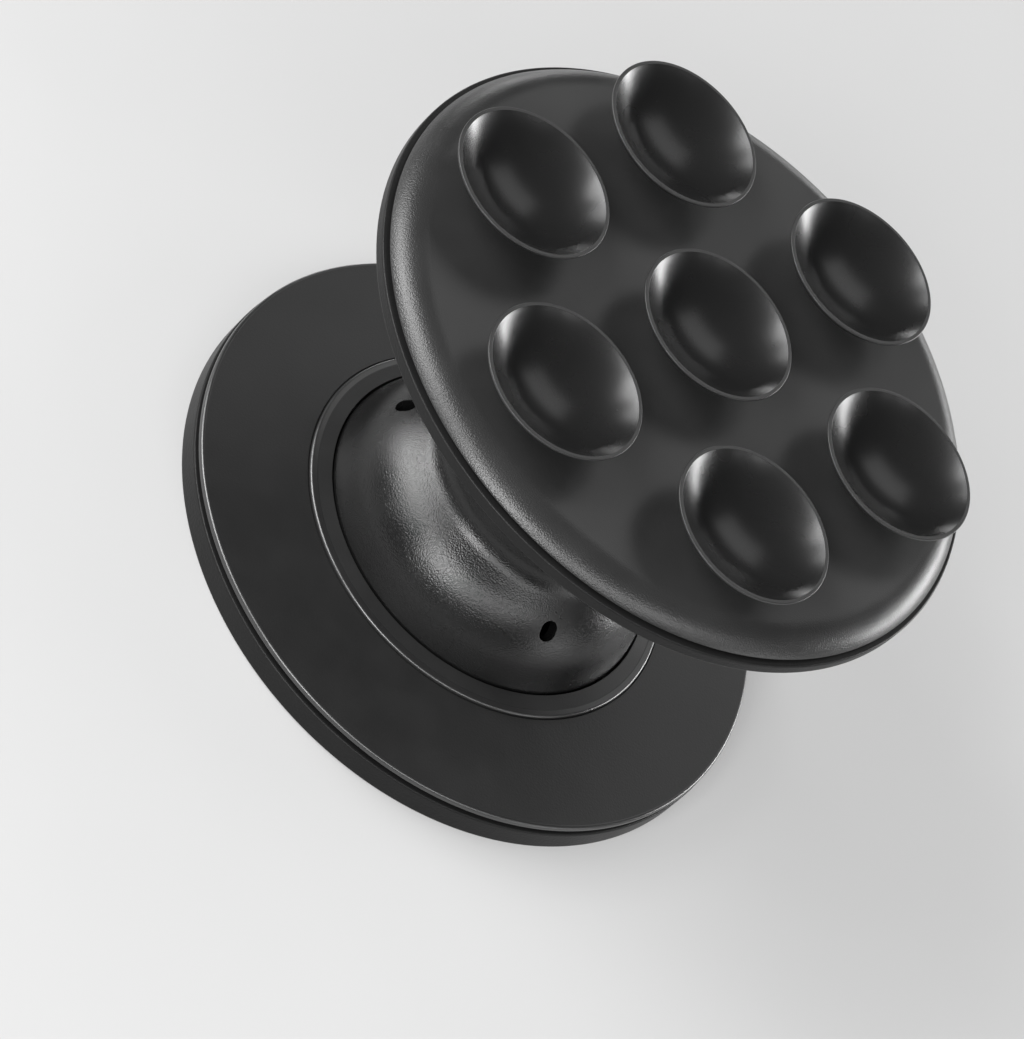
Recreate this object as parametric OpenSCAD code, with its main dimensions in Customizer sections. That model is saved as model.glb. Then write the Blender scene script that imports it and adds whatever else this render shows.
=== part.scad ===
// Magnetic phone grip: a round magnetic base, a collapsing silicone bellows and a disc with suction cups.
// Millimetres. Z runs up the axis from the face that meets the phone. The first outer cup lies on +X.

/* [Base] */
// Outer diameter of the base
base_d = 56; // [52:0.5:60]
// Thickness of the soft face let into the underside
face_t = 0.4; // [0.3:0.1:0.7]
// Width of the bottom rim left around the soft face
face_rim = 1; // [0.7:0.1:1.6]
// Thickness of the shell's floor above the soft face
floor_t = 0.5; // [0.4:0.1:0.9]
// Thickness of the shell's side wall
wall_t = 1.1; // [0.9:0.1:1.4]
// Radius on the shell's bottom edge
shell_foot_r = 0.25; // [0.1:0.05:0.4]
// Radius on the shell's top edge
shell_lip_r = 0.15; // [0.05:0.05:0.3]
// Thickness of the top cover
cover_t = 0.8; // [0.6:0.1:1.1]
// How far the cover's edge stands in from the shell's side
cover_inset = 0.1; // [0.05:0.05:0.4]
// Height of the cover's edge above the seam
cover_edge_h = 0.55; // [0.4:0.05:0.8]
// Radius along the cover's edge
cover_edge_r = 0.45; // [0.2:0.05:0.5]
// Rise of the cover from its edge to the collar
cover_rise = 0.65; // [0.3:0.05:1]
// Height of the groove between shell and cover
seam_h = 0.45; // [0.3:0.05:0.6]
// Depth of the groove between shell and cover
seam_depth = 0.7; // [0.4:0.05:0.9]
// Length of the cover's spigot inside the shell's wall
spigot_h = 0.8; // [0.4:0.1:1]
// Thickness of the cover's spigot
spigot_t = 0.5; // [0.4:0.05:0.7]

/* [Magnets] */
// Number of magnet segments in the ring
magnet_count = 16; // [12:2:20]
// Share of the room between the collar's rib and the wall that the magnets fill
magnet_share = 0.48; // [0.4:0.01:0.6]
// Thickness of a magnet segment
magnet_t = 1.2; // [1:0.1:1.6]
// Gap between one segment and the next
magnet_gap = 0.3; // [0.2:0.05:0.6]
// Clearance around the ring of magnets
magnet_play = 0.3; // [0.2:0.05:0.5]
// Thickness of the steel ring on the magnets
yoke_t = 0.3; // [0.2:0.1:0.5]
// Clearance between the steel ring and the cover
yoke_play = 0.1; // [0.05:0.05:0.3]
// Thickness of the ribs that stand on the shell's floor
rib_t = 0.8; // [0.6:0.1:1.2]

/* [Collar] */
// Gap between the collar and the foot of the bellows
foot_gap = 0.25; // [0.15:0.05:0.4]
// Thickness of the collar's skirt
skirt_t = 0.95; // [0.8:0.05:1.3]
// How far the collar reaches over the cover
collar_lip = 0.95; // [0.6:0.05:1.4]
// Depth of the collar's seat in the cover
seat_depth = 0.25; // [0.15:0.05:0.35]
// Height of the collar's edge above the cover
bead_h = 0.3; // [0.15:0.05:0.5]
// Width of the collar's level edge
bead_w = 0.7; // [0.5:0.05:0.9]
// Radius along the collar's edge
bead_r = 0.45; // [0.1:0.05:0.5]
// Rise of the collar from its edge to the gap
collar_rise = 0.3; // [0.1:0.05:0.5]

/* [Bellows] */
// Share of the base's diameter that the foot of the bellows takes
bellows_share = 0.56; // [0.54:0.01:0.58]
// Wall thickness of the silicone
silicone_t = 1.3; // [1:0.1:1.6]
// Thickness of the flange clamped under the collar
flange_t = 1.1; // [0.8:0.1:1.3]
// Radius where the foot turns into the dome's wall
foot_bend_r = 0.5; // [0.3:0.05:0.8]
// Height of the dome from its foot to the end of its shoulder
dome_h = 7; // [6.7:0.05:7.6]
// Radius of the dome's shoulder
shoulder_r = 10; // [8:0.25:11]
// Radius where a fold meets the neck above it
neck_fillet_r = 3; // [2.4:0.1:3.2]
// Share of the foot's radius that the neck takes above the dome
neck_share = 0.66; // [0.64:0.01:0.68]
// Share of the foot's radius that the upper neck takes above the fold
upper_neck_share = 0.465; // [0.45:0.005:0.475]
// Radius of the neck's shoulder under the fold
fold_r = 5; // [4:0.25:6]
// Thickness of the web that closes the neck's top
web_t = 1.5; // [1.2:0.1:2]
// Radius of the flange that meets the disc
top_flange_r = 10.5; // [9:0.25:12]
// Thickness of the flange that meets the disc
top_flange_t = 1.2; // [0.8:0.1:1.6]
// Number of vents around the dome's shoulder
vent_count = 3; // [2:1:6]
// Width of a vent
vent_w = 1.5; // [1:0.1:2]
// Length of a vent down the slope
vent_l = 1.9; // [1.9:0.1:2.6]
// Lean of the dome's wall from upright, degrees
wall_lean = 16; // [14:0.5:18]
// Slope of the folds, degrees
top_slope = 42.5; // [40:0.5:45]
// Lean of the neck from upright, degrees
neck_lean = 5; // [4:0.5:6]

/* [Disc] */
// Gap between the cover's edge and the disc when the grip is open
open_gap = 28.9; // [26:0.1:32]
// How far the disc comes down when the grip is closed
travel = 22; // [18:0.5:23]
// Diameter of the disc's plate
disc_d = 57.2; // [52:0.2:64]
// Thickness of the disc's plate
plate_t = 1.15; // [1:0.05:2]
// Radius on the plate's edges
plate_edge_r = 0.2; // [0.1:0.05:0.4]
// How far the pad stands in from the plate's edge
pad_inset = 0.45; // [0.2:0.05:1]
// Thickness of the silicone pad
pad_t = 1.95; // [1.6:0.05:2.5]
// Height of the groove under the pad's shoulder
pad_seam_h = 0.3; // [0.15:0.05:0.5]
// Depth of the groove under the pad's shoulder
pad_seam_depth = 0.65; // [0.3:0.05:1]
// Radius of the pad's shoulder
pad_shoulder_r = 3.3; // [2.6:0.1:4]
// Radius of the boss that carries the neck
boss_r = 3.6; // [3:0.1:4]
// Thickness of the retaining washer
washer_t = 1.2; // [0.8:0.1:1.6]

/* [Suction cups] */
// Number of cups around the middle one
cup_count = 6; // [3:1:6]
// Radius of the circle on which the outer cups stand
cup_pitch_r = 19.1; // [17:0.1:20.5]
// Radius of a cup's rim
rim_r = 7.22; // [6:0.02:7.5]
// Height of a cup's rim above the pad
cup_h = 3.6; // [3:0.1:4.5]
// Height of the outside of a cup's rim
lip_h = 0.18; // [0.12:0.02:0.3]
// Width of the flat lip on a cup's rim
lip_w = 0.32; // [0.24:0.02:0.5]
// Height of the bottom of a cup's bowl above the pad
bowl_floor_h = 0.9; // [0.8:0.05:1.3]
// Radius of a cup's stem
stem_r = 3.2; // [2.6:0.1:4]
// Height of a cup's stem
stem_h = 0.6; // [0.3:0.05:0.7]

/* [Screw] */
// Radius of the screw's shank
screw_r = 1.5; // [1.25:0.05:1.75]
// Radius of the screw's head
head_r = 2.75; // [2.3:0.05:3]
// Height of the screw's head
head_h = 1.6; // [1.2:0.1:2]
// Width across flats of the socket in the head
socket_w = 2; // [1.5:0.1:2.2]
// Length of the shank above the washer
grip_l = 2.1; // [1.6:0.1:2.2]

/* [Hidden] */
// Clearance between pieces that fit into each other
slip = 0.1;
// Overrun of a cut past the face it opens
overrun = 0.2;
// How deep a cup's stem runs into the pad
root_h = 0.4;
// Clearance round the retaining washer
washer_play = 0.3;
// Drop of the bellows' foot below the collar's inner edge
foot_drop = 0.05;
// Where the neck's shoulder starts, as a share of the neck's height
fold_share = 0.27;
// Where the vents open, as a share of the shoulder's turn
vent_share = 0.72;
// Depth of the socket, as a share of the head's height
socket_share = 0.55;
// Points on each bend of the bellows' outline
arc_steps = 10;
// Sides of a full circle
$fn = 144;

base_r = base_d / 2;
floor_z = face_t + floor_t;
magnet_top_z = floor_z + magnet_t;
yoke_top_z = magnet_top_z + yoke_t;
cover_edge_z = yoke_top_z + yoke_play + cover_t;
cover_top_z = cover_edge_z + cover_rise;
shell_h = cover_edge_z - cover_edge_h - seam_h;
spigot_ro = base_r - wall_t - slip;
spigot_ri = spigot_ro - spigot_t;
magnet_ro = spigot_ri - magnet_play;

bellows_r = base_r * bellows_share;
neck_r = bellows_r * neck_share;
upper_neck_r = bellows_r * upper_neck_share;
collar_ri = bellows_r + foot_gap;
skirt_ro = collar_ri + skirt_t;
collar_ro = skirt_ro + collar_lip;
flange_r = skirt_ro - slip;
rib_ro = flange_r + slip + rib_t;
magnet_w = (magnet_ro - rib_ro) * magnet_share;
magnet_ri = magnet_ro - magnet_w;
magnet_mid_r = (magnet_ro + magnet_ri) / 2;
clamp_z = floor_z + flange_t;
seat_z = cover_top_z - seat_depth;
bead_z = cover_top_z + bead_h;
collar_top_z = bead_z + collar_rise;
foot_z = collar_top_z - foot_drop;

disc_z = cover_edge_z + open_gap;
disc_r = disc_d / 2;
plate_top_z = disc_z + plate_t;
pad_r = disc_r - pad_inset;
pad_seam_z = plate_top_z + pad_seam_h;
pad_top_z = plate_top_z + pad_t;
rim_z = pad_top_z + cup_h;
pad_shoulder_h = pad_top_z - pad_seam_z;
web_z = disc_z - web_t;
washer_z = web_z - washer_t;

// Headings of the bellows' outline, turned from straight out towards up
wall_heading = 90 + wall_lean;
top_heading = 180 - top_slope;
vent_heading = wall_heading + (top_heading - wall_heading) * vent_share;
neck_heading = 90 + neck_lean;
up_heading = 90;
in_heading = 180;

function last(path) = path[len(path) - 1];
function side(h0, h1) = h1 > h0 ? 1 : -1;
// A point on a bend that starts at p, heading h0, once it heads h
function bend_at(p, h0, h1, r, h) = p + side(h0, h1) * r * [sin(h) - sin(h0), cos(h0) - cos(h)];
function bend(p, h0, h1, r) =
  [for (i = [1:arc_steps]) bend_at(p, h0, h1, r, h0 + (h1 - h0) * i / arc_steps)];
function run(r0, r1, heading) = (r1 - r0) / cos(heading);
function go(p, heading, l) = p + l * [cos(heading), sin(heading)];
function unit(v) = v / norm(v);
function left(v) = [-v[1], v[0]];
// The same outline, moved inwards by t
function inward(path, t) = [
  for (i = [0:len(path) - 1])
    path[i] + t * left(unit(path[min(i + 1, len(path) - 1)] - path[max(i - 1, 0)]))
];

// Outline of the bellows: the dome's wall and shoulder, the neck, its fold and the upper neck
foot_start = [bellows_r, foot_z];
foot_bend = bend(foot_start, up_heading, wall_heading, foot_bend_r);
wall_foot = last(foot_bend);
shoulder_rise = shoulder_r * (cos(wall_heading) - cos(top_heading));
wall_l = (foot_z + dome_h - shoulder_rise - wall_foot[1]) / sin(wall_heading);
wall_top = go(wall_foot, wall_heading, wall_l);
shoulder = bend(wall_top, wall_heading, top_heading, shoulder_r);
neck_bend_run = neck_fillet_r * (sin(neck_heading) - sin(top_heading));
top_in = go(last(shoulder), top_heading,
  max(0, run(last(shoulder)[0], neck_r + neck_bend_run, top_heading)));
neck_bend = bend(top_in, top_heading, neck_heading, neck_fillet_r);
neck_foot = last(neck_bend);
neck_end_z = disc_z - top_flange_t;
fold_z = neck_foot[1] + (neck_end_z - neck_foot[1]) * fold_share;
fold_foot = go(neck_foot, neck_heading, (fold_z - neck_foot[1]) / sin(neck_heading));
fold_out = bend(fold_foot, neck_heading, top_heading, fold_r);
fold_in = go(last(fold_out), top_heading,
  max(0, run(last(fold_out)[0], upper_neck_r + neck_bend_run, top_heading)));
fold_bend = bend(fold_in, top_heading, neck_heading, neck_fillet_r);
upper_foot = last(fold_bend);
upper_end = go(upper_foot, neck_heading, (neck_end_z - upper_foot[1]) / sin(neck_heading));
bellows_body = concat([wall_foot, wall_top], shoulder, [top_in], neck_bend, [fold_foot], fold_out,
  [fold_in], fold_bend, [upper_end]);
bellows_inside = inward(bellows_body, silicone_t);
inside_foot_r = bellows_inside[0][0];
inside_top_r = last(bellows_inside)[0];
washer_r = inside_top_r - washer_play;
vent_at = bend_at(wall_top, wall_heading, top_heading, shoulder_r, vent_heading);

// A cup's outside is a sphere through its stem and its rim, and its bowl a sphere through its lip
flank_low = [stem_r, stem_h];
flank_high = [rim_r, cup_h - lip_h];
flank_c = (flank_high * flank_high - flank_low * flank_low) / (2 * (flank_high[1] - flank_low[1]));
flank_r = norm(flank_high - [0, flank_c]);
bowl_h = cup_h - bowl_floor_h;
bowl_mouth_r = rim_r - lip_w;
bowl_r = (bowl_mouth_r * bowl_mouth_r + bowl_h * bowl_h) / (2 * bowl_h);

// What lies outside a rounded corner at (r, z), for the corner that points along sr, sz
module corner_off(r, z, rad, sr, sz) {
  difference() {
    translate([min(r - sr * rad, r + sr * overrun), min(z - sz * rad, z + sz * overrun)])
      square(rad + overrun);
    translate([r - sr * rad, z - sz * rad]) circle(rad);
  }
}

module ring(ri, ro, z0, z1) {
  rotate_extrude()
    translate([ri, z0]) square([ro - ri, z1 - z0]);
}

// Lower housing: side band, floor, recess for the soft face and ribs that hold what lies inside
module base_shell() {
  color([0.12, 0.12, 0.125]) {
    rotate_extrude()
      difference() {
        polygon([
          [0, face_t], [base_r - face_rim, face_t], [base_r - face_rim, 0], [base_r, 0],
          [base_r, shell_h], [base_r - wall_t, shell_h], [base_r - wall_t, floor_z], [0, floor_z]
        ]);
        corner_off(base_r, 0, shell_foot_r, 1, -1);
        corner_off(base_r, shell_h, shell_lip_r, 1, 1);
      }
    ring(flange_r + slip, rib_ro, floor_z - floor_t / 2, cover_top_z - cover_t - slip);
    ring(magnet_ri - slip - rib_t, magnet_ri - slip, floor_z - floor_t / 2, magnet_top_z);
  }
}

// Soft sheet that meets the phone, flush with the shell's rim
module phone_face() {
  color([0.16, 0.16, 0.165])
    cylinder(h = face_t, r = base_r - face_rim - slip);
}

// One arc of the magnet ring, its middle at the angle of its number
module magnet(i) {
  step = 360 / magnet_count;
  half_gap = asin(magnet_gap / 2 / magnet_mid_r);
  color([0.62, 0.63, 0.65])
    rotate([0, 0, (i - 1) * step + half_gap])
      rotate_extrude(angle = step - 2 * half_gap)
        translate([magnet_ri, floor_z]) square([magnet_w, magnet_t]);
}

module steel_ring() {
  color([0.7, 0.71, 0.73])
    ring(magnet_ri, magnet_ro, magnet_top_z, yoke_top_z);
}

// Top cover: rounded edge above the seam, rising top, seat for the collar and a spigot in the shell
module base_cover() {
  edge_r = min(cover_edge_r, cover_edge_h);
  color([0.11, 0.11, 0.115])
    rotate_extrude()
      difference() {
        polygon([
          [spigot_ri, shell_h - spigot_h], [spigot_ro, shell_h - spigot_h], [spigot_ro, shell_h],
          [base_r - seam_depth, shell_h], [base_r - seam_depth, shell_h + seam_h],
          [base_r - cover_inset, shell_h + seam_h], [base_r - cover_inset, cover_edge_z],
          [base_r - cover_inset - edge_r, cover_edge_z], [collar_ro + slip, cover_top_z],
          [collar_ro + slip, seat_z], [skirt_ro + slip, seat_z],
          [skirt_ro + slip, cover_top_z - cover_t], [spigot_ri, cover_edge_z - cover_t]
        ]);
        corner_off(base_r - cover_inset, cover_edge_z, edge_r, 1, 1);
      }
}

// Ring that clamps the bellows' flange and frames its foot
module collar() {
  edge_r = min(bead_r, bead_h + seat_depth);
  color([0.12, 0.12, 0.125])
    rotate_extrude()
      difference() {
        polygon([
          [collar_ri, clamp_z], [skirt_ro, clamp_z], [skirt_ro, seat_z], [collar_ro, seat_z],
          [collar_ro, bead_z], [collar_ro - bead_w, bead_z], [collar_ri, collar_top_z]
        ]);
        corner_off(collar_ro, bead_z, edge_r, 1, 1);
      }
}

module vent(a) {
  rotate([0, 0, a])
    translate([vent_at[0], 0, vent_at[1]])
      rotate([0, in_heading - vent_heading, 0])
        for (s = [-1, 1])
          translate([s * (vent_l - vent_w) / 2, 0, -2 * silicone_t])
            cylinder(h = 4 * silicone_t, d = vent_w);
}

// Silicone bellows in one piece: clamped flange, dome with vents, folding neck and top web
module bellows() {
  color([0.2, 0.2, 0.205])
    difference() {
      rotate_extrude()
        polygon(concat(
          [[inside_foot_r, floor_z], [flange_r, floor_z], [flange_r, clamp_z], [bellows_r, clamp_z],
           foot_start],
          foot_bend,
          [for (i = [1:len(bellows_body) - 1]) bellows_body[i]],
          [[top_flange_r, neck_end_z], [top_flange_r, disc_z], [boss_r + slip, disc_z],
           [boss_r + slip, web_z], [inside_top_r, web_z]],
          [for (i = [len(bellows_inside) - 2:-1:0]) bellows_inside[i]]));
      for (i = [0:vent_count - 1]) vent(in_heading + i * 360 / vent_count);
    }
}

// Stiff plate behind the pad, with the boss that carries the neck
module top_plate() {
  color([0.12, 0.12, 0.125])
    difference() {
      rotate_extrude()
        difference() {
          polygon([
            [0, web_z], [boss_r, web_z], [boss_r, disc_z], [disc_r, disc_z],
            [disc_r, plate_top_z], [0, plate_top_z]
          ]);
          corner_off(disc_r, disc_z, plate_edge_r, 1, -1);
          corner_off(disc_r, plate_top_z, plate_edge_r, 1, 1);
        }
      translate([0, 0, web_z - overrun])
        cylinder(h = grip_l + slip + overrun, r = screw_r + slip / 2);
    }
}

module pad_outline() {
  shoulder_run = sqrt(pad_shoulder_r * pad_shoulder_r
    - (pad_shoulder_r - pad_shoulder_h) * (pad_shoulder_r - pad_shoulder_h));
  difference() {
    polygon([
      [0, plate_top_z], [pad_r - pad_seam_depth, plate_top_z], [pad_r - pad_seam_depth, pad_seam_z],
      [pad_r, pad_seam_z], [pad_r, pad_top_z], [0, pad_top_z]
    ]);
    difference() {
      translate([pad_r - shoulder_run, pad_seam_z])
        square([shoulder_run + overrun, pad_shoulder_h + overrun]);
      translate([pad_r - shoulder_run, pad_top_z - pad_shoulder_r]) circle(pad_shoulder_r);
    }
  }
}

// One cup: stem, bowl and flat lip, standing on the pad's face at zero
module cup() {
  rotate_extrude()
    difference() {
      union() {
        translate([0, -root_h]) square([stem_r, root_h + bowl_floor_h]);
        intersection() {
          translate([0, stem_h]) square([rim_r, cup_h - stem_h]);
          translate([0, flank_c]) circle(flank_r);
        }
      }
      translate([0, bowl_floor_h + bowl_r]) circle(bowl_r);
    }
}

// Silicone pad with its cups, in one piece
module suction_pad() {
  color([0.17, 0.17, 0.175]) {
    rotate_extrude() pad_outline();
    translate([0, 0, pad_top_z]) {
      cup();
      for (i = [0:cup_count - 1])
        rotate([0, 0, i * 360 / cup_count]) translate([cup_pitch_r, 0, 0]) cup();
    }
  }
}

module washer() {
  color([0.6, 0.61, 0.62])
    ring(screw_r + slip, washer_r, washer_z, web_z);
}

module screw() {
  color([0.45, 0.46, 0.47])
    difference() {
      union() {
        translate([0, 0, washer_z - head_h]) cylinder(h = head_h, r = head_r);
        translate([0, 0, washer_z - head_h / 2]) cylinder(h = head_h / 2 + washer_t + grip_l, r = screw_r);
      }
      translate([0, 0, washer_z - head_h - overrun])
        cylinder(h = head_h * socket_share + overrun, d = socket_w / cos(30), $fn = 6);
    }
}

base_shell();
phone_face();
steel_ring();
base_cover();
collar();
bellows();
top_plate();
suction_pad();
washer();
screw();
for (i = [1:magnet_count])
  magnet(i);
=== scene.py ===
"""Magnetic phone grip: looks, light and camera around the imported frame. Lengths are millimetres unless said."""
import math

import bmesh
import bpy
from mathutils import Matrix, Vector
from mathutils.geometry import delaunay_2d_cdt


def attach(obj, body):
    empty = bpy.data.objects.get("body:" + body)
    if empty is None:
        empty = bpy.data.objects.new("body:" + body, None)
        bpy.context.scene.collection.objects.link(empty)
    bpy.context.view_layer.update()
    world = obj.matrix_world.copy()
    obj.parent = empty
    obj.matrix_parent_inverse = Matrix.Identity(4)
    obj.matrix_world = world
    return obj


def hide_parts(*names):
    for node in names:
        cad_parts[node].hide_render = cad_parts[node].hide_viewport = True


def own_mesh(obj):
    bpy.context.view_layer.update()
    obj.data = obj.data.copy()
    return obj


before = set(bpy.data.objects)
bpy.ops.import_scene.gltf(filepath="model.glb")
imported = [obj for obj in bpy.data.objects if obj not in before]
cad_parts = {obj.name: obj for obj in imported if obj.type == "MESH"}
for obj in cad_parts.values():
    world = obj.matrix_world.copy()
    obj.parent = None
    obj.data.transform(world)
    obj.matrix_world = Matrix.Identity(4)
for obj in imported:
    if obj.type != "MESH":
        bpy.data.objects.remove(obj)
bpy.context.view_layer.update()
scene = bpy.context.scene
MM = 0.001
SEGMENTS, CUP_SEGMENTS = 256, 128

# Base: radii first, then levels
BASE_R, RECESS_R, SHEET_R, SHELL_IN = 28.0, 27.0, 26.9, 26.9
MAGNET_RIB, MAGNET_RIB_T, FOOT_RIB_R = 21.9064, 0.8, 17.68
SHEET_TOP, SHELL_FLOOR, MAGNET_RIB_TOP, SHELL_TOP, FOOT_RIB_TOP = 0.4, 0.9, 2.1, 2.3, 3.05
COVER_R, GROOVE_R, SPIGOT_OUT, SPIGOT_IN = 27.9, 27.3, 26.8, 26.3
SPIGOT_LOW, COVER_UNDER_OUT, GROOVE_TOP, COVER_UNDER_IN = 1.5, 2.5, 2.75, 3.15
COVER_SIDE_TOP, COLLAR_SEAT, COVER_TOP = 3.3, 3.7, 3.95
COLLAR_IN, COLLAR_SKIRT, COLLAR_OUT, COLLAR_RIM_W = 15.93, 16.88, 17.83, 0.7
COLLAR_RIM_Z, COLLAR_BORE_Z, COLLAR_TOP = 4.25, 4.2, 4.55
SLIDE_FIT, BORE_EDGE = 0.1, 0.05

# Bellows
BELLOWS_R, FLANGE_R, FLANGE_TOP, FOOT_Z, SILICONE = 15.68, 16.78, 2.0, 4.5, 1.3
WALL_HEADING, TOP_HEADING, NECK_HEADING = 106, 137.5, 95
DOME_H, FOOT_BEND, DOME_BEND, NECK_BEND, FOLD_BEND = 7.0, 0.5, 10.0, 3.0, 5.0
NECK_SHARE, UPPER_NECK_SHARE, FOLD_SHARE = 0.66, 0.465, 0.27
TOP_FLANGE_R, TOP_FLANGE_T, WEB_BORE_R, WEB_T = 10.5, 1.2, 3.7, 1.5
VENT_R, VENT_HALF_L, VENT_REACH, VENT_SHARE, VENT_AZIMUTHS = 0.75, 0.2, 2.5, 0.72, (180, 300, 60)
SKIN_LIP = 0.02

# Disc: plate, pad and cups
DISC_Z, PLATE_TOP, PAD_SEAM, PAD_TOP = 32.2, 33.35, 33.57, 35.3
DISC_R, PAD_R, PAD_SEAM_R, SHOULDER_R = 28.6, 28.15, 27.5, 3.3
BOSS_R, BOSS_LOW, SCREW_HOLE_R, SCREW_HOLE_TOP = 3.6, 30.7, 1.55, 32.9
STEM_R, STEM_H, STEM_FILLET, CUP_R, RIM_H, CUP_PITCH = 3.2, 0.6, 0.28, 7.22, 3.6, 19.1
LIP_W, LIP_H, BOWL_FLOOR = 0.32, 0.18, 0.9


# ---------------------------------------------------------------- outlines
def polar(centre, radius, degrees):
    a = math.radians(degrees)
    return (centre[0] + radius * math.cos(a), centre[1] + radius * math.sin(a))


def arc(centre, radius, start, end, steps):
    return [polar(centre, radius, start + (end - start) * i / steps) for i in range(steps + 1)]


def rounded(corners, closed=True, steps=6, hold=0.06):
    """Corners (r, z, radius) as an outline whose corners are rounded, each with a point held just beside it."""
    share, room = 0.48, 2.5
    out = []
    n = len(corners)
    for i, corner in enumerate(corners):
        p, rad = Vector(corner[:2]), (corner[2] if len(corner) > 2 else 0)
        if rad <= 0 or (not closed and i in (0, n - 1)):
            out.append(tuple(p))
            continue
        a, b = Vector(corners[i - 1][:2]) - p, Vector(corners[(i + 1) % n][:2]) - p
        la, lb = a.length, b.length
        a, b = a.normalized(), b.normalized()
        half = a.angle(b) / 2
        reach = min(rad / math.tan(half), share * la, share * lb)
        rad = reach * math.tan(half)
        centre = p + (a + b).normalized() * (rad / math.sin(half))
        s, e = p + a * reach - centre, p + b * reach - centre
        sweep = s.angle_signed(e)
        if la > room * (reach + hold):
            out.append(tuple(p + a * (reach + hold)))
        for k in range(steps + 1):
            t = -sweep * k / steps
            out.append((centre.x + s.x * math.cos(t) - s.y * math.sin(t),
                        centre.y + s.x * math.sin(t) + s.y * math.cos(t)))
        if lb > room * (reach + hold):
            out.append(tuple(p + b * (reach + hold)))
    return out


class Bend:
    """An outline drawn by heading, in degrees turned from straight out towards up."""

    def __init__(self, start, heading):
        self.p, self.h, self.points = tuple(start), heading, [tuple(start)]

    def to(self, heading, radius, steps):
        side = 1 if heading > self.h else -1
        p, h0 = self.p, math.radians(self.h)
        for i in range(1, steps + 1):
            h = math.radians(self.h + (heading - self.h) * i / steps)
            self.points.append((p[0] + side * radius * (math.sin(h) - math.sin(h0)),
                                p[1] + side * radius * (math.cos(h0) - math.cos(h))))
        self.p, self.h = self.points[-1], heading
        return self

    def go(self, length, pieces):
        h = math.radians(self.h)
        p = self.p
        for i in range(1, pieces + 1):
            d = length * i / pieces
            self.points.append((p[0] + d * math.cos(h), p[1] + d * math.sin(h)))
        self.p = self.points[-1]
        return self

    def go_out(self, r, pieces):
        return self.go((r - self.p[0]) / math.cos(math.radians(self.h)), pieces)

    def go_up(self, z, pieces):
        return self.go((z - self.p[1]) / math.sin(math.radians(self.h)), pieces)


def bend_room(radius, h0, h1):
    """How far in and how far up a bend of the outline goes, from heading h0 to h1."""
    h0, h1 = math.radians(h0), math.radians(h1)
    return radius * (math.sin(h0) - math.sin(h1)), radius * (math.cos(h0) - math.cos(h1))


def inward(path, thickness):
    """The path moved to its left by the thickness of the wall."""
    out = []
    for i, p in enumerate(path):
        a, b = Vector(path[max(i - 1, 0)]), Vector(path[min(i + 1, len(path) - 1)])
        d = (b - a).normalized()
        out.append((p[0] - d.y * thickness, p[1] + d.x * thickness))
    return out


# ---------------------------------------------------------------- meshes
def finish_mesh(name, bm, materials, body, replaces=(), sharp=40):
    bmesh.ops.remove_doubles(bm, verts=bm.verts, dist=1e-7)
    bmesh.ops.recalc_face_normals(bm, faces=bm.faces)
    mesh = bpy.data.meshes.new(name)
    bm.to_mesh(mesh)
    bm.free()
    for m in materials:
        mesh.materials.append(m)
    mesh.shade_smooth()
    mesh.set_sharp_from_angle(angle=math.radians(sharp))
    piece = bpy.data.objects.new(name, mesh)
    scene.collection.objects.link(piece)
    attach(piece, body)
    if replaces:
        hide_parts(*replaces)
    return piece


def add_revolve(bm, outline, centre=(0, 0), lift=0.0, segments=SEGMENTS, closed=True, tags=None):
    """A turned surface about a vertical line at centre. Returns the rings, so that one can be joined on."""
    rings = []
    for r, z in outline:
        if r < 1e-6:
            rings.append([bm.verts.new((centre[0] * MM, centre[1] * MM, (z + lift) * MM))])
        else:
            rings.append([bm.verts.new(((centre[0] + r * math.cos(a)) * MM, (centre[1] + r * math.sin(a)) * MM,
                                        (z + lift) * MM))
                          for a in (2 * math.pi * k / segments for k in range(segments))])
    last = len(rings) if closed else len(rings) - 1
    for i in range(last):
        a, b = rings[i], rings[(i + 1) % len(rings)]
        if len(a) == 1 and len(b) == 1:
            continue
        for k in range(segments):
            n = (k + 1) % segments
            if len(a) == 1:
                f = bm.faces.new((a[0], b[k], b[n]))
            elif len(b) == 1:
                f = bm.faces.new((a[k], b[0], a[n]))
            else:
                f = bm.faces.new((a[k], b[k], b[n], a[n]))
            f.material_index = tags[i] if tags else 0
    return rings


def turned(name, outline, material, body, replaces, edge=None, edge_box=None):
    """A turned piece; faces inside edge_box (r, z, r, z) take the edge material, which is smoother, glossier and a
    lighter grey than the rest: the lighter grey is a painted highlight along the rounded edge.
    """
    bm = bmesh.new()
    add_revolve(bm, outline)
    if edge:
        r0, z0, r1, z1 = edge_box
        for f in bm.faces:
            c = f.calc_center_median() / MM
            f.material_index = int(r0 < math.hypot(c.x, c.y) < r1 and z0 < c.z < z1)
    return finish_mesh(name, bm, [material] + ([edge] if edge else []), body, replaces)


# ---------------------------------------------------------------- materials
def new_material(name):
    m = bpy.data.materials.new(name)
    m.use_nodes = True
    t = m.node_tree
    t.nodes.clear()
    out = t.nodes.new("ShaderNodeOutputMaterial")
    shader = t.nodes.new("ShaderNodeBsdfPrincipled")
    t.links.new(shader.outputs["BSDF"], out.inputs["Surface"])
    return m, t, shader


def noise(t, vector, scale, detail=2.0, rough=0.5):
    n = t.nodes.new("ShaderNodeTexNoise")
    n.inputs["Scale"].default_value = scale
    n.inputs["Detail"].default_value = detail
    n.inputs["Roughness"].default_value = rough
    t.links.new(vector, n.inputs["Vector"])
    return n.outputs["Fac"]


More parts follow.
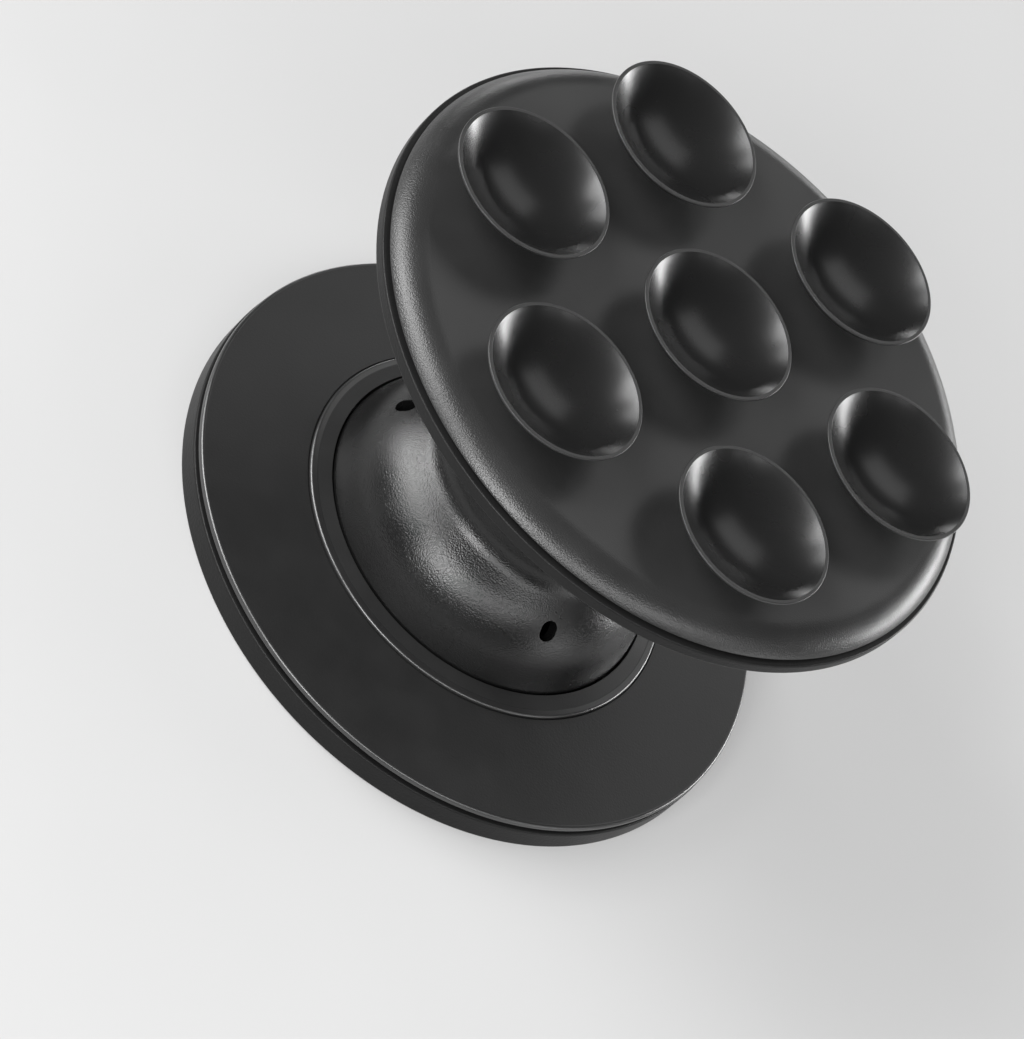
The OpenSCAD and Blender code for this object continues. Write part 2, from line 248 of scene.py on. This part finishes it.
def ramp(t, value, lo, hi, from_lo=0.3, from_hi=0.7):
    r = t.nodes.new("ShaderNodeMapRange")
    r.inputs["From Min"].default_value = from_lo
    r.inputs["From Max"].default_value = from_hi
    r.inputs["To Min"].default_value = lo
    r.inputs["To Max"].default_value = hi
    t.links.new(value, r.inputs["Value"])
    return r.outputs["Result"]


def two_tones(t, factor, dark, light):
    mix = t.nodes.new("ShaderNodeMix")
    mix.data_type = "RGBA"
    mix.inputs[6].default_value = (*dark, 1)
    mix.inputs[7].default_value = (*light, 1)
    t.links.new(factor, mix.inputs["Factor"])
    return mix.outputs[2]


def add_bump(t, shader, height, distance):
    bump = t.nodes.new("ShaderNodeBump")
    bump.inputs["Strength"].default_value = 1.0
    bump.inputs["Distance"].default_value = distance
    t.links.new(height, bump.inputs["Height"])
    t.links.new(bump.outputs["Normal"], shader.inputs["Normal"])
    return bump


def moulded(name, dark, light, rough, grain_mm, grain_um, specular=0.5, blotch=0.06, smooth_to=None):
    """Moulded rubber or plastic: fine grain in the surface, faint cloudy change of tone and gloss.

    smooth_to gives two radii: the grain is weak inside the first and full outside the second.
    """
    cloud_mm, cloud_detail, grain_detail, weak = 4.5, 3.0, 0.5, 0.25
    m, t, shader = new_material(name)
    where = t.nodes.new("ShaderNodeTexCoord").outputs["Object"]
    cloud = noise(t, where, 1 / (cloud_mm * MM), cloud_detail)
    t.links.new(two_tones(t, ramp(t, cloud, 0, 1), (dark,) * 3, (light,) * 3), shader.inputs["Base Color"])
    t.links.new(ramp(t, cloud, rough - blotch / 2, rough + blotch / 2), shader.inputs["Roughness"])
    shader.inputs["Specular IOR Level"].default_value = specular
    bump = add_bump(t, shader, noise(t, where, 1 / (grain_mm * MM), grain_detail), grain_um * 1e-6)
    if smooth_to:
        flat = t.nodes.new("ShaderNodeVectorMath")
        flat.operation = "MULTIPLY"
        flat.inputs[1].default_value = (1, 1, 0)
        t.links.new(where, flat.inputs[0])
        reach = t.nodes.new("ShaderNodeVectorMath")
        reach.operation = "LENGTH"
        t.links.new(flat.outputs["Vector"], reach.inputs[0])
        t.links.new(ramp(t, reach.outputs["Value"], weak, 1, smooth_to[0] * MM, smooth_to[1] * MM),
                    bump.inputs["Strength"])
    return m


def metal(name, colour, rough, line_mm):
    """Bright metal with a faint turned or ground grain."""
    shade, spread, stretch_z, line_detail, line_depth = 0.82, 0.06, 6, 4.0, 4e-6
    m, t, shader = new_material(name)
    where = t.nodes.new("ShaderNodeTexCoord").outputs["Object"]
    stretch = t.nodes.new("ShaderNodeMapping")
    stretch.inputs["Scale"].default_value = (1, 1, stretch_z)
    t.links.new(where, stretch.inputs["Vector"])
    lines = noise(t, stretch.outputs["Vector"], 1 / (line_mm * MM), line_detail)
    t.links.new(two_tones(t, lines, [c * shade for c in colour], colour), shader.inputs["Base Color"])
    shader.inputs["Metallic"].default_value = 1.0
    t.links.new(ramp(t, lines, rough - spread, rough + spread), shader.inputs["Roughness"])
    add_bump(t, shader, lines, line_depth)
    return m


# The two greys of the cloud, the roughness, the grain's size in millimetres and its height in micrometres
shell_plastic = moulded("shell_plastic", 0.0105, 0.0125, 0.38, 0.2, 20, specular=0.16)
cover_plastic = moulded("cover_plastic", 0.0135, 0.0155, 0.42, 0.18, 8)
# The material of the rounded edges below is smoother and glossier than cover_plastic and a lighter grey; the
# lighter grey is a painted highlight along the edge lines.
cover_edge_gloss_and_highlight = moulded("cover_edge_gloss_and_highlight", 0.016, 0.018, 0.3, 0.18, 6, specular=1.0)
soft_face = moulded("soft_face", 0.014, 0.018, 0.62, 0.12, 6, specular=0.35)
bellows_silicone = moulded("bellows_silicone", 0.0045, 0.0055, 0.27, 0.12, 24)
pad_silicone = moulded("pad_silicone", 0.023, 0.026, 0.31, 0.12, 24, smooth_to=(24.6, 26.2))
cup_silicone = moulded("cup_silicone", 0.0095, 0.0105, 0.27, 0.3, 2, specular=0.6, blotch=0.02)
magnet_metal = metal("magnet_metal", (0.55, 0.56, 0.58), 0.32, 0.3)
ring_steel = metal("ring_steel", (0.52, 0.53, 0.54), 0.38, 0.2)
fastener_steel = metal("fastener_steel", (0.42, 0.43, 0.45), 0.35, 0.25)

# ---------------------------------------------------------------- base
# Each corner is (radius, level) or (radius, level, radius of its rounding)
turned("base_housing", rounded([
    (0, SHEET_TOP), (RECESS_R, SHEET_TOP), (RECESS_R, 0, 0.08), (BASE_R, 0, 0.25),
    (BASE_R, SHELL_TOP, 0.2), (SHELL_IN, SHELL_TOP, 0.1), (SHELL_IN, SHELL_FLOOR),
    (MAGNET_RIB, SHELL_FLOOR), (MAGNET_RIB, MAGNET_RIB_TOP),
    (MAGNET_RIB - MAGNET_RIB_T, MAGNET_RIB_TOP), (MAGNET_RIB - MAGNET_RIB_T, SHELL_FLOOR),
    (FOOT_RIB_R, SHELL_FLOOR), (FOOT_RIB_R, FOOT_RIB_TOP),
    (COLLAR_SKIRT, FOOT_RIB_TOP), (COLLAR_SKIRT, SHELL_FLOOR), (0, SHELL_FLOOR)]),
    shell_plastic, "base", ("base_shell",))
turned("phone_sheet", rounded([(0, 0), (SHEET_R, 0, 0.1), (SHEET_R, SHEET_TOP), (0, SHEET_TOP)]),
       soft_face, "base", ("phone_face",))
turned("base_top", rounded([
    (SPIGOT_IN, SPIGOT_LOW), (SPIGOT_OUT, SPIGOT_LOW), (SPIGOT_OUT, SHELL_TOP), (GROOVE_R, SHELL_TOP),
    (GROOVE_R, GROOVE_TOP), (COVER_R, GROOVE_TOP, 0.12), (COVER_R, COVER_SIDE_TOP, 0.45),
    (COLLAR_OUT + SLIDE_FIT, COVER_TOP, 0.06), (COLLAR_OUT + SLIDE_FIT, COLLAR_SEAT),
    (COLLAR_SKIRT + SLIDE_FIT, COLLAR_SEAT), (COLLAR_SKIRT + SLIDE_FIT, COVER_UNDER_IN),
    (SPIGOT_IN, COVER_UNDER_OUT)], steps=8),
    cover_plastic, "base", ("base_cover",),
    # The cover's rounded outer edge takes the lighter edge material, a painted highlight along its edge line.
    edge=cover_edge_gloss_and_highlight, edge_box=(GROOVE_R, 2.8, BASE_R, 3.36))
turned("foot_ring", rounded([
    (COLLAR_IN, FLANGE_TOP), (COLLAR_SKIRT, FLANGE_TOP), (COLLAR_SKIRT, COLLAR_SEAT), (COLLAR_OUT, COLLAR_SEAT),
    (COLLAR_OUT, COLLAR_RIM_Z, 0.42), (COLLAR_OUT - COLLAR_RIM_W, COLLAR_RIM_Z, 0.15),
    (COLLAR_IN - BORE_EDGE, COLLAR_TOP, 0.05), (COLLAR_IN - BORE_EDGE, COLLAR_BORE_Z)], steps=8),
    cover_plastic, "base", ("collar",),
    # The collar's rounded outer rim takes the lighter edge material, a painted highlight along its ring line.
    edge=cover_edge_gloss_and_highlight, edge_box=(COLLAR_OUT - 0.5, 3.72, COLLAR_OUT + 0.1, 4.3))

# ---------------------------------------------------------------- bellows
neck_top = DISC_Z - TOP_FLANGE_T
b = Bend((BELLOWS_R, FOOT_Z), 90)
b.to(WALL_HEADING, FOOT_BEND, 4)
wall_foot = len(b.points) - 1
b.go_up(FOOT_Z + DOME_H - bend_room(DOME_BEND, WALL_HEADING, TOP_HEADING)[1], 3)
wall_top = b.p
b.to(TOP_HEADING, DOME_BEND, 40)
b.go_out(BELLOWS_R * NECK_SHARE + bend_room(NECK_BEND, NECK_HEADING, TOP_HEADING)[0], 3)
b.to(NECK_HEADING, NECK_BEND, 24)
b.go_up(b.p[1] + (neck_top - b.p[1]) * FOLD_SHARE, 4)
b.to(TOP_HEADING, FOLD_BEND, 24)
b.go_out(BELLOWS_R * UPPER_NECK_SHARE + bend_room(NECK_BEND, NECK_HEADING, TOP_HEADING)[0], 1)
b.to(NECK_HEADING, NECK_BEND, 20)
b.go_up(neck_top, 6)
inside = inward(b.points[wall_foot:], SILICONE)
foot_in, web_r = inside[0][0], inside[-1][0]
skin = ([(foot_in, FOOT_Z - SKIN_LIP), (BELLOWS_R - SKIN_LIP, FOOT_Z - SKIN_LIP)] + b.points[1:]
        + [(TOP_FLANGE_R, neck_top), (TOP_FLANGE_R, DISC_Z), (WEB_BORE_R, DISC_Z),
           (WEB_BORE_R, DISC_Z - WEB_T), (web_r, DISC_Z - WEB_T)]
        + [p for p in inside[-2:0:-1] if p[1] > FOOT_Z + 0.05])
bm = bmesh.new()
add_revolve(bm, skin)
bellows = finish_mesh("bellows_skin", bm, [bellows_silicone], "base", ("bellows",))

vent_h = WALL_HEADING + (TOP_HEADING - WALL_HEADING) * VENT_SHARE
vent_in, vent_up = bend_room(DOME_BEND, WALL_HEADING, vent_h)
vent_r, vent_z = wall_top[0] - vent_in, wall_top[1] + vent_up


def vent_cutter(azimuth):
    """A slot with round ends, square to the dome's surface at the vent."""
    steps = 20
    half_ring = [(VENT_HALF_L + VENT_R * math.cos(math.radians(d)), VENT_R * math.sin(math.radians(d)))
                 for d in (-85 + 170 * k / steps for k in range(steps + 1))]
    ring = half_ring + [(-x, -y) for x, y in half_ring]
    bm = bmesh.new()
    low = [bm.verts.new((x * MM, y * MM, -VENT_REACH * MM)) for x, y in ring]
    top = [bm.verts.new((x * MM, y * MM, VENT_REACH * MM)) for x, y in ring]
    bm.faces.new(low[::-1])
    bm.faces.new(top)
    for k in range(len(ring)):
        n = (k + 1) % len(ring)
        bm.faces.new((low[k], low[n], top[n], top[k]))
    mesh = bpy.data.meshes.new("vent_cut")
    bm.to_mesh(mesh)
    bm.free()
    cutter = bpy.data.objects.new("vent_cut", mesh)
    scene.collection.objects.link(cutter)
    cutter.matrix_world = (Matrix.Rotation(math.radians(azimuth), 4, "Z")
                           @ Matrix.Translation((vent_r * MM, 0, vent_z * MM))
                           @ Matrix.Rotation(math.radians(180 - vent_h), 4, "Y"))
    return cutter


for azimuth in VENT_AZIMUTHS:
    cutter = vent_cutter(azimuth)
    cut = bellows.modifiers.new("vent", "BOOLEAN")
    cut.operation, cut.solver, cut.object = "DIFFERENCE", "EXACT", cutter
    bpy.context.view_layer.objects.active = bellows
    with bpy.context.temp_override(object=bellows, active_object=bellows, selected_objects=[bellows]):
        bpy.ops.object.modifier_apply(modifier=cut.name)
    bpy.data.objects.remove(cutter)
bellows.data.set_sharp_from_angle(angle=math.radians(40))
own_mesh(bellows)
# The flange clamped under the collar doesn't fold
turned("bellows_flange", rounded([
    (foot_in, SHELL_FLOOR), (FLANGE_R, SHELL_FLOOR), (FLANGE_R, FLANGE_TOP), (BELLOWS_R, FLANGE_TOP),
    (BELLOWS_R, FOOT_Z), (foot_in, FOOT_Z)]),
    bellows_silicone, "base", ())

# ---------------------------------------------------------------- disc
turned("disc_plate", rounded([
    (0, SCREW_HOLE_TOP), (SCREW_HOLE_R, SCREW_HOLE_TOP), (SCREW_HOLE_R, BOSS_LOW), (BOSS_R, BOSS_LOW, 0.15),
    (BOSS_R, DISC_Z), (DISC_R, DISC_Z, 0.2), (DISC_R, PLATE_TOP, 0.2), (0, PLATE_TOP)], steps=8),
    shell_plastic, "disc", ("top_plate",))

# The pad's outline: its seam, the small edge over it and the wide shoulder
shoulder_h = PAD_TOP - PAD_SEAM
run = math.sqrt(SHOULDER_R ** 2 - (SHOULDER_R - shoulder_h) ** 2)
centre = (PAD_R - run, PAD_TOP - SHOULDER_R)
shoulder_start = math.degrees(math.asin((SHOULDER_R - shoulder_h) / SHOULDER_R)) + 4
seam_edge = rounded([(PAD_SEAM_R, PAD_SEAM), (PAD_R, PAD_SEAM, 0.12), polar(centre, SHOULDER_R, shoulder_start)],
                    closed=False)
pad_outline = ([(0, PLATE_TOP), (PAD_SEAM_R, PLATE_TOP)] + seam_edge[:-1]
               + arc(centre, SHOULDER_R, shoulder_start, 90, 28))

# A cup's outline, from the fillet at its stem over the flank and the lip to the middle of its bowl. The flank is
# an arc through low and high, and the gaps are the degrees left free for the lip's small roundings
flank_gap, flank_steps, bowl_gap, bowl_steps = 1.2, 22, 1.5, 36
low, high = (STEM_R, STEM_H), (CUP_R, RIM_H - LIP_H)
flank_c = ((high[0] ** 2 + high[1] ** 2) - (low[0] ** 2 + low[1] ** 2)) / (2 * (high[1] - low[1]))
flank_r = math.hypot(high[0], high[1] - flank_c)
flank_low = math.degrees(math.atan2(low[1] - flank_c, low[0]))
flank_high = math.degrees(math.atan2(high[1] - flank_c, high[0])) - flank_gap
mouth, depth = CUP_R - LIP_W, RIM_H - BOWL_FLOOR
bowl_r = (mouth ** 2 + depth ** 2) / (2 * depth)
bowl_c = BOWL_FLOOR + bowl_r
bowl_edge = math.degrees(math.asin(mouth / bowl_r)) - bowl_gap


def on_bowl(degrees):
    a = math.radians(degrees)
    return (bowl_r * math.sin(a), bowl_c - bowl_r * math.cos(a))


cup = [(STEM_R + STEM_FILLET, 0.0)] + arc((STEM_R + STEM_FILLET, STEM_FILLET), STEM_FILLET, 270, 180, 6)[1:]
cup += [(STEM_R + 0.015, STEM_H - 0.05)]
cup += [polar((0, flank_c), flank_r, flank_low + flank_gap + (flank_high - flank_low) * i / flank_steps)
        for i in range(flank_steps)]
lip = rounded([polar((0, flank_c), flank_r, flank_high), (CUP_R, RIM_H - LIP_H, 0.04), (CUP_R, RIM_H, 0.09),
               (mouth, RIM_H, 0.06), on_bowl(bowl_edge)], closed=False, steps=5, hold=0.02)
cup += lip
outer = len(cup) - 1
cup += [on_bowl(bowl_edge * (1 - i / bowl_steps)) for i in range(1, bowl_steps)] + [(0.0, BOWL_FLOOR)]
# The bowl, from the last faces of the lip inwards, is of the smoother silicone
tags = [int(i >= outer - 2) for i in range(len(cup))]

spots = [(CUP_PITCH * math.cos(math.radians(60 * i)), CUP_PITCH * math.sin(math.radians(60 * i)))
         for i in range(6)] + [(0, 0)]
bm = bmesh.new()
loops = [add_revolve(bm, pad_outline, closed=False)[-1]]
for spot in spots:
    loops.append(add_revolve(bm, cup, centre=spot, lift=PAD_TOP, segments=CUP_SEGMENTS, closed=False, tags=tags)[0])
# The pad's flat face, between its edge and the seven stems
points, edges, verts = [], [], []
for loop in loops:
    first = len(points)
    for k, v in enumerate(loop):
        points.append(Vector((v.co.x / MM, v.co.y / MM)))
        verts.append(v)
        edges.append((first + k, first + (k + 1) % len(loop)))
stem_reach, margin, row_pitch, grid_half = STEM_R + STEM_FILLET, 0.6, 0.866, 26
for i in range(-grid_half, grid_half + 1):
    for j in range(-grid_half, grid_half + 1):
        p = Vector((i + (j % 2) * 0.5, j * row_pitch))
        if (p.length < centre[0] - margin
                and all((p - Vector(s)).length > stem_reach + margin for s in spots)):
            points.append(p)
            verts.append(bm.verts.new((p.x * MM, p.y * MM, PAD_TOP * MM)))
made = delaunay_2d_cdt(points, edges, [], 0, 1e-6)
for face in made[2]:
    c = sum((Vector(made[0][k]) for k in face), Vector((0, 0))) / len(face)
    if all((c - Vector(s)).length >= STEM_R + STEM_FILLET * 0.99 for s in spots):
        bm.faces.new([verts[made[3][k][0]] for k in face])
finish_mesh("cup_pad", bm, [pad_silicone, cup_silicone], "disc", ("suction_pad",))

# ---------------------------------------------------------------- carried-over nodes
for name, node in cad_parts.items():
    if node.hide_render:
        continue
    metal_of = magnet_metal if name.startswith("magnet") else ring_steel if name == "steel_ring" else fastener_steel
    if not node.material_slots:
        node.data.materials.append(metal_of)
    for s in node.material_slots:
        s.material = metal_of

# ---------------------------------------------------------------- floor
# Half its width and its drop below the part, both in metres, its two greys and the strength of its glow
FLOOR_HALF, FLOOR_DROP, FLOOR_DARK, FLOOR_LIGHT, FLOOR_GLOW = 1.6, 0.00004, 0.35, 0.37, 0.26


def joined(t, operation, a, b):
    """A math node of two values, each a socket or a number."""
    node = t.nodes.new("ShaderNodeMath")
    node.operation = operation
    for i, value in enumerate((a, b)):
        if isinstance(value, (int, float)):
            node.inputs[i].default_value = value
        else:
            t.links.new(value, node.inputs[i])
    return node.outputs[0]


bm = bmesh.new()
bmesh.ops.create_grid(bm, x_segments=24, y_segments=24, size=FLOOR_HALF)
mesh = bpy.data.meshes.new("floor")
bm.to_mesh(mesh)
bm.free()
floor = bpy.data.objects.new("floor", mesh)
floor.location.z = -FLOOR_DROP
scene.collection.objects.link(floor)
m, t, shader = new_material("floor_pale")
where = t.nodes.new("ShaderNodeTexCoord").outputs["Object"]
t.links.new(two_tones(t, noise(t, where, 40), (FLOOR_DARK,) * 3, (FLOOR_LIGHT,) * 3), shader.inputs["Base Color"])
shader.inputs["Roughness"].default_value = 0.8
shader.inputs["Specular IOR Level"].default_value = 0.2
# A little more of the pale floor for what looks at it: the camera, glossy and transmitted rays
path = t.nodes.new("ShaderNodeLightPath").outputs
seen = joined(t, "MAXIMUM", path["Is Camera Ray"], path["Is Glossy Ray"])
seen = joined(t, "MAXIMUM", seen, path["Is Transmission Ray"])
glow = t.nodes.new("ShaderNodeEmission")
glow.inputs["Color"].default_value = (1, 1, 1, 1)
t.links.new(joined(t, "MULTIPLY", seen, FLOOR_GLOW), glow.inputs["Strength"])
add = t.nodes.new("ShaderNodeAddShader")
out = next(n for n in t.nodes if n.type == "OUTPUT_MATERIAL")
t.links.new(shader.outputs["BSDF"], add.inputs[0])
t.links.new(glow.outputs["Emission"], add.inputs[1])
t.links.new(add.outputs["Shader"], out.inputs["Surface"])
floor.data.materials.append(m)

# ---------------------------------------------------------------- light
# name, azimuth and elevation of the lamp in degrees, its width and height in metres, its power in watts
LAMPS = [
    ("left_high", -160, 42, 0.22, 0.18, 0.62),
    ("left_front_high", -137, 45, 0.22, 0.14, 0.5),
    ("left_key", -185, 28, 0.22, 0.16, 1.35),
    ("left_fill", -158, 28, 0.22, 0.16, 0.7),
    ("left_low", 160, 14, 0.20, 0.20, 0.5),
    ("back_left", 157, 28, 0.22, 0.22, 0.7),
    ("left_top", -179, 44, 0.22, 0.16, 0.85),
    ("front_left", -115, 31, 0.20, 0.18, 1.85),
    ("front", -93, 31, 0.20, 0.18, 0.75),
    ("front_right", -70, 32, 0.20, 0.16, 0.52),
    ("right_high", -47, 36, 0.20, 0.18, 0.55),
    ("right_low", -22, 6, 0.26, 0.16, 0.35),
    ("right", -22, 30, 0.20, 0.20, 0.15),
    ("back_low_right", 30, 7, 0.30, 0.14, 1.7),
    ("back_low", 50, 6, 0.24, 0.12, 0.5),
    ("back_low_left", 72, 8, 0.24, 0.16, 0.35),
    ("back_left_low", 106, 4, 0.12, 0.06, 0.18),
    ("back_glow", 72, 45, 0.34, 0.28, 0.25),
]
DISTANCE, AIM, SKY = 0.6, Vector((0, 0, 0.02)), 0.02
for name, az, el, width, height, power in LAMPS:
    data = bpy.data.lights.new(name, "AREA")
    data.shape, data.size, data.size_y, data.energy = "RECTANGLE", width, height, power
    lamp = bpy.data.objects.new(name, data)
    a, e = math.radians(az), math.radians(el)
    back = Vector((math.cos(a) * math.cos(e), math.sin(a) * math.cos(e), math.sin(e)))
    lamp.location = AIM + back * DISTANCE
    lamp.rotation_mode = "QUATERNION"
    lamp.rotation_quaternion = back.to_track_quat("Z", "Y")
    lamp.visible_camera = False
    scene.collection.objects.link(lamp)

world = bpy.data.worlds.new("studio")
scene.world = world
world.use_nodes = True
sky = next(n for n in world.node_tree.nodes if n.type == "BACKGROUND")
sky.inputs["Color"].default_value = (1, 1, 1, 1)
sky.inputs["Strength"].default_value = SKY

# ---------------------------------------------------------------- camera
RIGHT = Vector((0.78332533, 0.3056653, 0.54126718))
DOWN = Vector((0.58978672, -0.64050811, -0.49183431))
AHEAD = Vector((0.19634933, 0.70449847, -0.68200356))
PLACE = Vector((-0.083352, -0.300751, 0.298323))
data = bpy.data.cameras.new("camera")
data.sensor_width, data.sensor_fit, data.lens = 36.0, "AUTO", 173.04
data.clip_start, data.clip_end = 0.02, 20.0
camera = bpy.data.objects.new("camera", data)
camera.matrix_world = Matrix((
    (RIGHT.x, -DOWN.x, -AHEAD.x, PLACE.x),
    (RIGHT.y, -DOWN.y, -AHEAD.y, PLACE.y),
    (RIGHT.z, -DOWN.z, -AHEAD.z, PLACE.z),
    (0, 0, 0, 1)))
scene.collection.objects.link(camera)
scene.camera = camera
scene.view_settings.view_transform = "Standard"
